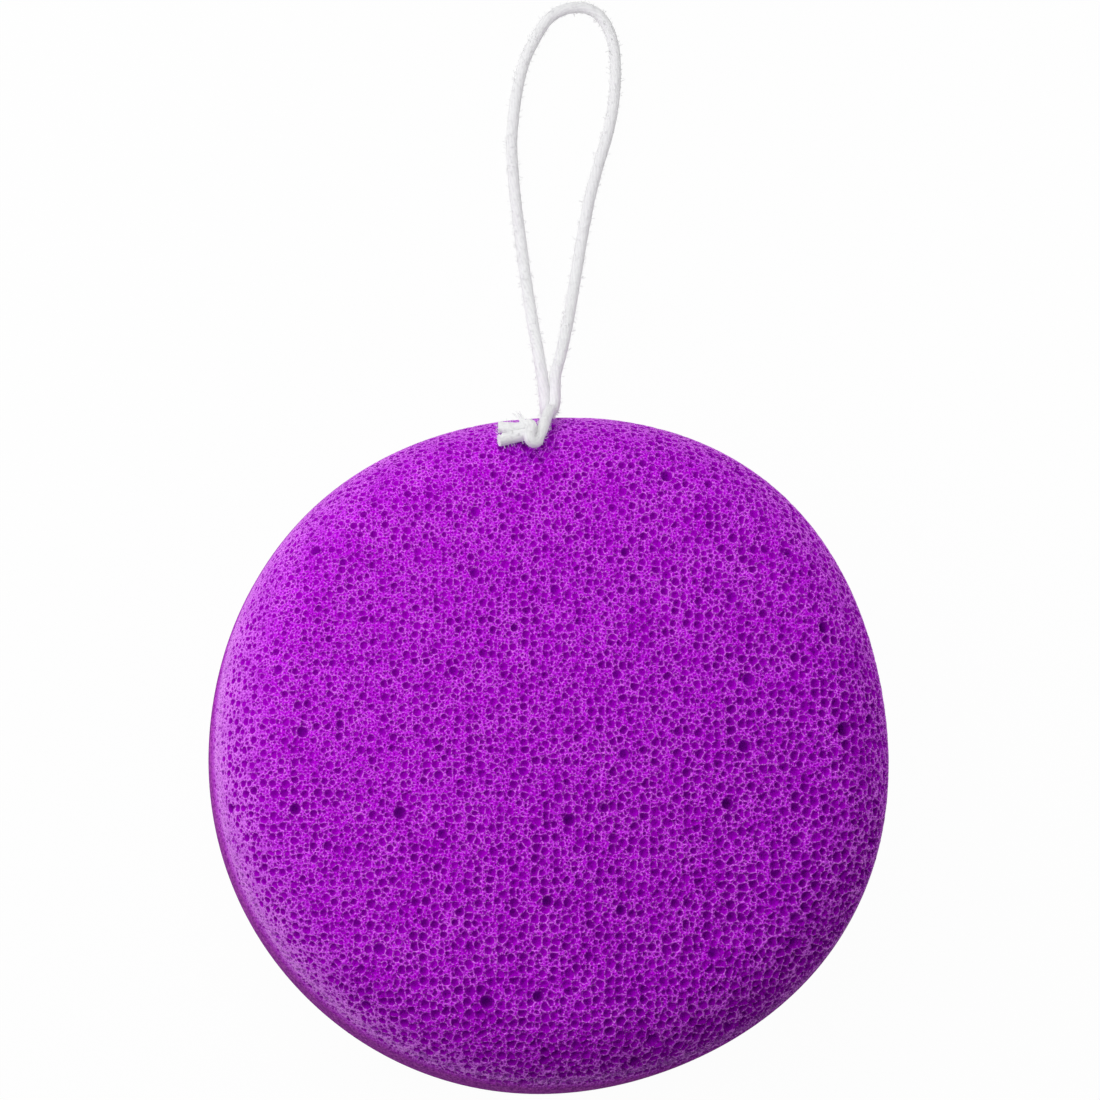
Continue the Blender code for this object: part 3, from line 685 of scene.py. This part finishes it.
def foamMaterial():
    # polyurethane sponge foam, cast and cut open: matt and dyed through, with pale cell edges over deep pits:
    # painted highlight on the edges and painted shade in the pits
    material, add, shader = newMaterial("openCellPolyurethaneFoam")
    shader.inputs["Roughness"].default_value = 0.9
    shader.inputs["IOR"].default_value = 1.45
    shader.inputs["Specular IOR Level"].default_value = 0.04
    colour = {name: linear(value) for name, value in foamColours.items()}
    place = add("Attribute", out="Vector", attribute_name="foamPlace")
    openShare, skinShare, sheenAndFibreVeil = [
        add("Attribute", out="Fac", attribute_name=name) for name in ("openShare", "skinShare", "sheenAndFibreVeil")
    ]
    crisp = {"Detail": 2.0, "Roughness": 0.75}
    fine = add("TexNoise", {"Vector": place, "Scale": 1 / foamGrain["fuzz"], **crisp})
    broad = add("TexNoise", {"Vector": place, "Scale": 1 / foamGrain["patch"], "Detail": 2.0})

    bright = add("Math", (broad, foamGrain["patchShare"], fine), operation="MULTIPLY_ADD")
    bright = add("MapRange", (bright, *foamGrain["bright"]))
    mixed = add("Mix", {0: bright, 6: colour["web"], 7: colour["strut"]}, 2, data_type="RGBA")
    # painted sheen and torn fibres: paler towards the skin, where the cell edges are seen from the side
    pale = add("Math", (bright, foamGrain["rimBright"], foamGrain["rimPale"]), operation="MULTIPLY_ADD")
    pale = add("Math", (sheenAndFibreVeil, pale), operation="MULTIPLY")
    mixed = add("Mix", {0: pale, 6: mixed, 7: colour["rim"]}, 2, data_type="RGBA")
    height = add("Math", (fine, foamGrain["fuzzHeight"]), operation="MULTIPLY")
    for name in ("fine", "middle", "coarse", "rare"):
        level = pores[name]
        lip = level["lip"]
        inside, wall, _, chance = addBubbles(add, place, level, openShare, skinShare)
        # painted highlight on the cell edges: the whole net of the finest cells, and a thin lip round the
        # larger pits
        pitEdge = -lip * foamGrain["pitOut"]
        edge = (wall, lip, 0.0) if name == "fine" else (inside, -lip * foamGrain["lipOut"], pitEdge)
        edge = add("MapRange", edge)
        for factor in (bright, foamGrain["lipHighlightShare"]):
            edge = add("Math", (edge, factor), operation="MULTIPLY")
        # the pit's colour is painted shade
        pit = (inside, pitEdge, lip * foamGrain["pitIn"], 0.0, level["tint"])
        pit = add("MapRange", pit, interpolation_type="SMOOTHSTEP")
        # painted shade, deeper towards a pit's middle, and more so in some pits
        sunk = add("Math", (inside, 0.0), operation="MAXIMUM")
        tone = add("Math", (sunk, 1 / level["radius"], chance), operation="MULTIPLY_ADD")
        tone = add("Math", (fine, -foamGrain["toneFuzz"], tone), operation="MULTIPLY_ADD")
        tone = add("MapRange", (tone, foamGrain["toneLow"], 1.0))
        deep = add("Mix", {0: tone, 6: colour["pit"], 7: colour["pitShadeDeep"]}, 2, data_type="RGBA")
        for share, above in ((edge, colour["strutHighlight"]), (pit, deep)):
            mixed = add("Mix", {0: share, 6: mixed, 7: above}, 2, data_type="RGBA")
        if name == "fine":
            height = add("Math", (sunk, -1.0, height), operation="MULTIPLY_ADD")
    # torn fibres and a painted sheen veil the pits next to the skin
    veilLow, veilHigh, veilShare = foamGrain["veil"]
    veil = add("MapRange", (fine, veilLow, veilHigh, 0.0, veilShare))
    nearSkin = add("MapRange", (sheenAndFibreVeil, foamGrain["veilFrom"], 1.0))
    veil = add("Math", (veil, nearSkin), operation="MULTIPLY")
    mixed = add("Mix", {0: veil, 6: mixed, 7: colour["rim"]}, 2, data_type="RGBA")
    # speckle of the skin's fine cells
    side = {"Vector": add("TexCoord", out="Object"), "Scale": (1.0, 1.0, foamGrain["speckTall"])}
    side = add("Mapping", side)
    speck = add("TexNoise", {"Vector": side, "Scale": 1 / foamGrain["speck"], **crisp})
    speck = add("MapRange", (speck, *foamGrain["speckRange"]))
    skin = add("Mix", {0: speck, 6: colour["skinDark"], 7: colour["skin"]}, 2, data_type="RGBA")
    covered = add("Math", (skinShare, foamGrain["skinCover"]), operation="MULTIPLY")
    mixed = add("Mix", {0: covered, 6: mixed, 7: skin}, 2, data_type="RGBA")
    material.node_tree.links.new(mixed, shader.inputs["Base Color"])
    bump = add("Bump", {"Height": height, "Strength": 0.8, "Distance": 1.0})
    material.node_tree.links.new(bump, shader.inputs["Normal"])
    return material


def makeSponge():
    foam = foamMaterial()
    piece = bakedByTree("foamSponge", spongeMesh(), poreTree(foam))
    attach(piece, "sponge")
    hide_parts("sponge_body")


makeSponge()


# twisted cotton cord

cotton = {
    "thread": "#F2F2F3",
    "shade": "#E8E8EA",
    "fibreTurns": 9.0,  # lines of fibres round a ply
    "fibrePitch": 0.0016,  # from one line to the next, along the ply
    "fibreShare": 0.25,
    "tangles": 2200.0,  # of loose fibres in a metre, so 0.45 mm each: finer ones wouldn't show
    "shadeRange": (0.1, 0.55),
    "relief": 0.00005,
}


def cottonMaterial():
    # soft cotton yarn: matt white, fibres laid slantwise round each ply
    material, add, shader = newMaterial("twistedCotton")
    shader.inputs["Roughness"].default_value = 0.95
    shader.inputs["Specular IOR Level"].default_value = 0.15
    shader.inputs["Sheen Weight"].default_value = 0.6
    shader.inputs["Sheen Roughness"].default_value = 0.6
    ply = add("Attribute", out="Vector", attribute_name="plyPlace")
    x, y, along = add("SeparateXYZ", (ply,)).node.outputs
    around = add("Math", (y, x), operation="ARCTAN2")
    along = add("Math", (along, 2 * math.pi / cotton["fibrePitch"]), operation="MULTIPLY")
    wave = add("Math", (around, cotton["fibreTurns"], along), operation="MULTIPLY_ADD")
    wave = add("Math", (wave,), operation="SINE")
    place = add("TexCoord", out="Object")
    noise = add("TexNoise", {"Vector": place, "Scale": cotton["tangles"], "Detail": 3.0})
    height = add("Math", (wave, cotton["fibreShare"], noise), operation="MULTIPLY_ADD")
    # the shade colour is painted shade, darker between the fibre lines
    shade = add("MapRange", (height, *cotton["shadeRange"]))
    colour = add("Mix", {
        0: shade, 6: linear(cotton["shade"]), 7: linear(cotton["thread"]),
    }, 2, data_type="RGBA")
    material.node_tree.links.new(colour, shader.inputs["Base Color"])
    bump = add("Bump", {"Height": height, "Strength": 0.5, "Distance": cotton["relief"]})
    material.node_tree.links.new(bump, shader.inputs["Normal"])
    return material


def cordMesh():
    # the route as loose edges, and how far its plies come apart and lie flat at each point
    mesh = bpy.data.meshes.new("cordLine")
    mesh.from_pydata(cordPath.tolist(), [(k, k + 1) for k in range(len(cordPath) - 1)], [])
    ends = np.minimum(np.arange(len(cordPath)), np.arange(len(cordPath))[::-1]) * cord["pathSpacing"]
    frayed = 1 - smoothStep(0.0, cord["frayLength"], ends)
    storeValues(mesh, "frayed", frayed)
    return mesh


def cordTree(material):
    tree, add, given = newTree("twistedPlies", [
        ("Plies", "NodeSocketInt", cord["plies"]),
        ("Ply Radius", "NodeSocketFloat", cord["plyRadius"]),
        ("Ply Offset", "NodeSocketFloat", cord["plyOffset"]),
        ("Twist Length", "NodeSocketFloat", cord["twistLength"]),
        ("Spacing", "NodeSocketFloat", cord["meshSpacing"]),
    ])
    curve = add("GeometryNodeMeshToCurve", (given["Geometry"],))
    curve = add("GeometryNodeResampleCurve", {"Curve": curve, "Length": given["Spacing"]}, mode="LENGTH")
    copies = {"Geometry": curve, "Amount": given["Plies"]}
    copies = add("GeometryNodeDuplicateElements", copies, domain="SPLINE")
    along = add("GeometryNodeSplineParameter", out="Length")
    frayed = add("GeometryNodeInputNamedAttribute", {"Name": "frayed"}, "Attribute")
    phase = add("Math", (copies.node.outputs["Duplicate Index"], given["Plies"]), operation="DIVIDE")
    turns = add("Math", (along, given["Twist Length"]), operation="DIVIDE")
    angle = add("Math", (phase, turns), operation="ADD")
    angle = add("Math", (angle, 2 * math.pi), operation="MULTIPLY")
    normal = add("GeometryNodeInputNormal")
    tangent = add("GeometryNodeInputTangent")
    across = add("VectorMath", (tangent, normal), operation="CROSS_PRODUCT")
    away, aside = [
        add("VectorMath", {0: axis, "Scale": add("Math", (angle,), operation=part)}, operation="SCALE")
        for axis, part in ((normal, "COSINE"), (across, "SINE"))
    ]
    away = add("VectorMath", (away, aside), operation="ADD")
    # frayed ends spread over the foam and lie flat on it
    up = add("VectorMath", (away, knot["out"]), "Value", operation="DOT_PRODUCT")
    for factor in (frayed, -cord["frayFlat"]):
        up = add("Math", (up, factor), operation="MULTIPLY")
    lift = add("CombineXYZ", (up, up, up))
    away = add("VectorMath", (knot["out"], lift, away), operation="MULTIPLY_ADD")
    spread = add("Math", (frayed, cord["fraySpread"], 1.0), operation="MULTIPLY_ADD")
    spread = add("Math", (spread, given["Ply Offset"]), operation="MULTIPLY")
    away = add("VectorMath", {0: away, "Scale": spread}, operation="SCALE")
    half = add("GeometryNodeSplineParameter")
    half = add("Math", (half, -0.5), operation="ADD")
    half = add("Math", (half,), operation="SIGN")
    endward = add("VectorMath", {0: tangent, "Scale": half}, operation="SCALE")
    # no two plies are cut to the same length
    uneven = add("Math", (phase, 2 * math.pi, half), operation="MULTIPLY_ADD")
    uneven = add("Math", (uneven,), operation="SINE")
    for factor in (frayed, cord["uneven"]):
        uneven = add("Math", (uneven, factor), operation="MULTIPLY")
    uneven = add("VectorMath", {0: endward, "Scale": uneven}, operation="SCALE")
    away = add("VectorMath", (away, uneven), operation="ADD")
    laid = copies
    for name, kind, value in (("alongCord", "FLOAT", along), ("endward", "FLOAT_VECTOR", endward)):
        laid = {"Geometry": laid, "Name": name, "Value": value}
        laid = add("GeometryNodeStoreNamedAttribute", laid, data_type=kind, domain="POINT")
    laid = add("GeometryNodeSetPosition", {"Geometry": laid, "Offset": away})
    ring = add("GeometryNodeCurvePrimitiveCircle", {"Resolution": cord["plySides"], "Radius": 1.0})
    ring = add("GeometryNodeStoreNamedAttribute", {
        "Geometry": ring, "Name": "ringPlace", "Value": add("GeometryNodeInputPosition"),
    }, data_type="FLOAT_VECTOR", domain="POINT")
    swell = add("Math", (frayed, cord["fraySwell"], 1.0), operation="MULTIPLY_ADD")
    swell = add("Math", (swell, given["Ply Radius"]), operation="MULTIPLY")
    skin = add("GeometryNodeCurveToMesh", {
        "Curve": laid, "Profile Curve": ring, "Fill Caps": True, "Scale": swell,
    })
    around, length = [
        add("GeometryNodeInputNamedAttribute", {"Name": name}, "Attribute", data_type=kind)
        for name, kind in (("ringPlace", "FLOAT_VECTOR"), ("alongCord", "FLOAT"))
    ]
    x, y = add("SeparateXYZ", (around,)).node.outputs[:2]
    skin = add("GeometryNodeStoreNamedAttribute", {
        "Geometry": skin, "Name": "plyPlace", "Value": add("CombineXYZ", (x, y, length)),
    }, data_type="FLOAT_VECTOR", domain="POINT")
    return endTree(tree, add("GeometryNodeSetShadeSmooth", (skin,)), material)


fuzz = {
    "perSquareMetre": 1.6e6,  # of a ply's surface
    "endsPerSquareMetre": 4.0e6,
    "length": 0.00045,
    "endLength": 0.00052,
    "thickness": 0.000022,  # radius: a real cotton fibre's is about a third of this, too fine to show
    "lean": 0.5,  # towards the nearer cut end, against one straight out
    "endLean": 2.0,
    "tilt": 0.5,  # radians, either way
    "shortest": 0.4,  # as shares of the length
    "longest": 1.3,
    # one fibre in its own lengths: its root, two handles and its tip
    "bend": ((0.0, 0.0, -0.1), (0.0, 0.1, 0.35), (0.35, 0.0, 0.35), (0.85, 0.25, 0.55)),
    "sides": 3,
    "bendPoints": 4,
    "seed": 7,
}


def fuzzTree(material):
    tree, add, given = newTree("strayFibres", [
        ("Density", "NodeSocketFloat", fuzz["perSquareMetre"]),
        ("End Density", "NodeSocketFloat", fuzz["endsPerSquareMetre"]),
        ("Length", "NodeSocketFloat", fuzz["length"]),
        ("End Length", "NodeSocketFloat", fuzz["endLength"]),
        ("Thickness", "NodeSocketFloat", fuzz["thickness"]),
        ("Seed", "NodeSocketInt", fuzz["seed"]),
    ])
    frayed, endward = [
        add("GeometryNodeInputNamedAttribute", {"Name": name}, "Attribute", data_type=kind)
        for name, kind in (("frayed", "FLOAT"), ("endward", "FLOAT_VECTOR"))
    ]
    density = add("Mix", {0: frayed, 2: given["Density"], 3: given["End Density"]})
    roots = add("GeometryNodeDistributePointsOnFaces", {
        "Mesh": given["Geometry"], "Density": density, "Seed": given["Seed"],
    })
    lean = add("Mix", {0: frayed, 2: fuzz["lean"], 3: fuzz["endLean"]})
    lean = add("VectorMath", {0: endward, "Scale": lean}, operation="SCALE")
    lean = add("VectorMath", (lean, roots.node.outputs["Normal"]), operation="ADD")
    outward = {"Rotation": roots.node.outputs["Rotation"], "Vector": lean}
    outward = add("FunctionNodeAlignRotationToVector", outward, axis="Z")
    bent = {"Resolution": fuzz["bendPoints"]}
    bent.update(zip(("Start", "Start Handle", "End Handle", "End"), fuzz["bend"]))
    bent = add("GeometryNodeCurvePrimitiveBezierSegment", bent)
    ring = add("GeometryNodeCurvePrimitiveCircle", {"Resolution": fuzz["sides"], "Radius": 1.0})
    thin = add("Math", (given["Thickness"], given["Length"]), operation="DIVIDE")
    hair = add("GeometryNodeCurveToMesh", {
        "Curve": bent, "Profile Curve": ring, "Fill Caps": True, "Scale": thin,
    })
    tilt = fuzz["tilt"]
    spin = {0: (-tilt, -tilt, 0.0), 1: (tilt, tilt, 2 * math.pi), "Seed": given["Seed"]}
    spin = add("FunctionNodeRandomValue", spin, data_type="FLOAT_VECTOR")
    turned = add("FunctionNodeRotateRotation", (outward, spin), rotation_space="LOCAL")
    reach = add("Mix", {0: frayed, 2: given["Length"], 3: given["End Length"]})
    chance = {2: fuzz["shortest"], 3: fuzz["longest"], "Seed": given["Seed"]}
    chance = add("FunctionNodeRandomValue", chance, 1)
    reach = add("Math", (reach, chance), operation="MULTIPLY")
    reach = add("CombineXYZ", (reach, reach, reach))
    hairs = add("GeometryNodeInstanceOnPoints", {
        "Points": roots, "Instance": hair, "Rotation": turned, "Scale": reach,
    })
    return endTree(tree, hairs, material)


tuft = {
    # loose yarns that stand up behind the upper tail, placed as the strands of the knot are
    "yarns": (
        (
            (0.00110, 0.00200, -0.00030), (0.00150, 0.00270, 0.00000), (0.00195, 0.00340, 0.00030),
            (0.00225, 0.00375, 0.00035),
        ),
        (
            (0.00130, 0.00205, -0.00030), (0.00172, 0.00265, 0.00005), (0.00225, 0.00322, 0.00020),
            (0.00262, 0.00345, 0.00030),
        ),
        (
            (0.00100, 0.00210, -0.00030), (0.00128, 0.00278, -0.00005), (0.00160, 0.00345, 0.00010),
            (0.00176, 0.00392, 0.00010),
        ),
    ),
    "thickness": 0.00042,
    "tip": 0.25,  # share of the thickness that is left at the end
    "sides": 8,
    "spacing": 0.0001,
}


def tuftMesh():
    mesh = bpy.data.meshes.new("tuftLines")
    lines = [smoothRoute([besideKnot(p) for p in yarn], tuft["spacing"]) for yarn in tuft["yarns"]]
    starts = np.cumsum([0] + [len(line) for line in lines])
    edges = [(int(a) + k, int(a) + k + 1) for a, line in zip(starts, lines) for k in range(len(line) - 1)]
    mesh.from_pydata(np.vstack(lines).tolist(), edges, [])
    return mesh


def tuftTree(material):
    tree, add, given = newTree("tuftYarns", [("Thickness", "NodeSocketFloat", tuft["thickness"])])
    curve = add("GeometryNodeMeshToCurve", (given["Geometry"],))
    share = add("GeometryNodeSplineParameter")
    taper = add("MapRange", (share, 0.0, 1.0, 0.5, 0.5 * tuft["tip"]))
    taper = add("Math", (taper, given["Thickness"]), operation="MULTIPLY")
    ring = add("GeometryNodeCurvePrimitiveCircle", {"Resolution": tuft["sides"], "Radius": 1.0})
    skin = add("GeometryNodeCurveToMesh", {
        "Curve": curve, "Profile Curve": ring, "Fill Caps": True, "Scale": taper,
    })
    return endTree(tree, add("GeometryNodeSetShadeSmooth", (skin,)), material)


def blendAtNeck(piece):
    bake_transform(piece)


def makeCord():
    white = cottonMaterial()
    piece = bakedByTree("hangingCord", cordMesh(), cordTree(white))
    fibres = bakedByTree("strayFibres", piece.data.copy(), fuzzTree(white))
    yarns = bakedByTree("looseYarns", tuftMesh(), tuftTree(white))
    for each in (piece, fibres, yarns):
        blendAtNeck(each)
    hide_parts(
        "cord_through_foam", "cord_over_rim", "cord_knot", "cord_tail_upper", "cord_tail_lower",
        "hanging_loop",
    )


makeCord()


# plain pale floor and soft light

light = {
    "keyPlace": (-0.134, 0.088, 0.206),
    "keySize": 0.45,
    "keyPower": 0.80,
    "skyStrength": 0.25,
    "fillPlace": (0.130, 0.070, 0.060),
    "fillSize": 0.08,
    "fillPower": 0.038,
    "floorSize": 3.0,
    "floorWhite": 0.75,
    "floorGlow": 0.97,  # share of the floor's look that is plain white: the rest takes the shadow
}


def makeStudio():
    mesh = bpy.data.meshes.new("floor")
    half = light["floorSize"] / 2
    corners = [(-half, -half, 0), (half, -half, 0), (half, half, 0), (-half, half, 0)]
    mesh.from_pydata(corners, [], [(0, 1, 2, 3)])
    floor = bpy.data.objects.new("floor", mesh)
    bpy.context.scene.collection.objects.link(floor)
    # uncoated white paper: no shine, only a soft shadow
    material = newMaterial("matteWhitePaper")[0]
    world = bpy.data.worlds.new("studio")
    world.use_nodes = True
    for owner in (material, world):
        owner.node_tree.nodes.clear()
        add = partial(addNode, owner.node_tree)
        rays = add("LightPath").node.outputs
        seen = add("Math", (rays["Is Camera Ray"], rays["Is Glossy Ray"]), operation="MAXIMUM")
        seen = add("Math", (seen, rays["Is Transmission Ray"]), operation="MAXIMUM")
        if owner is world:
            strength = add("MapRange", {"Value": seen, "To Min": light["skyStrength"], "To Max": 1.0})
            sky = add("Background", {"Color": (1.0, 1.0, 1.0, 1.0), "Strength": strength})
            add("OutputWorld", {"Surface": sky})
        else:
            paper = add("BsdfDiffuse", {"Color": (light["floorWhite"],) * 3 + (1.0,)})
            glow = add("Emission", {"Color": (1.0, 1.0, 1.0, 1.0), "Strength": 1.0})
            share = add("Math", (seen, light["floorGlow"]), operation="MULTIPLY")
            surface = add("MixShader", (share, paper, glow))
            add("OutputMaterial", (surface,))
    mesh.materials.append(material)
    bpy.context.scene.world = world

    # a big soft key from the upper left and a weak low fill from the right, both turned to the origin
    for name in ("key", "fill"):
        data = bpy.data.lights.new(name, "AREA")
        data.shape = "DISK"
        data.size = light[name + "Size"]
        data.energy = light[name + "Power"]
        lamp = bpy.data.objects.new(name, data)
        bpy.context.scene.collection.objects.link(lamp)
        lamp.location = Vector(light[name + "Place"])
        lamp.rotation_euler = (-lamp.location).to_track_quat("-Z", "Y").to_euler()


makeStudio()
bpy.context.scene.view_settings.view_transform = "Standard"
print("studio made")
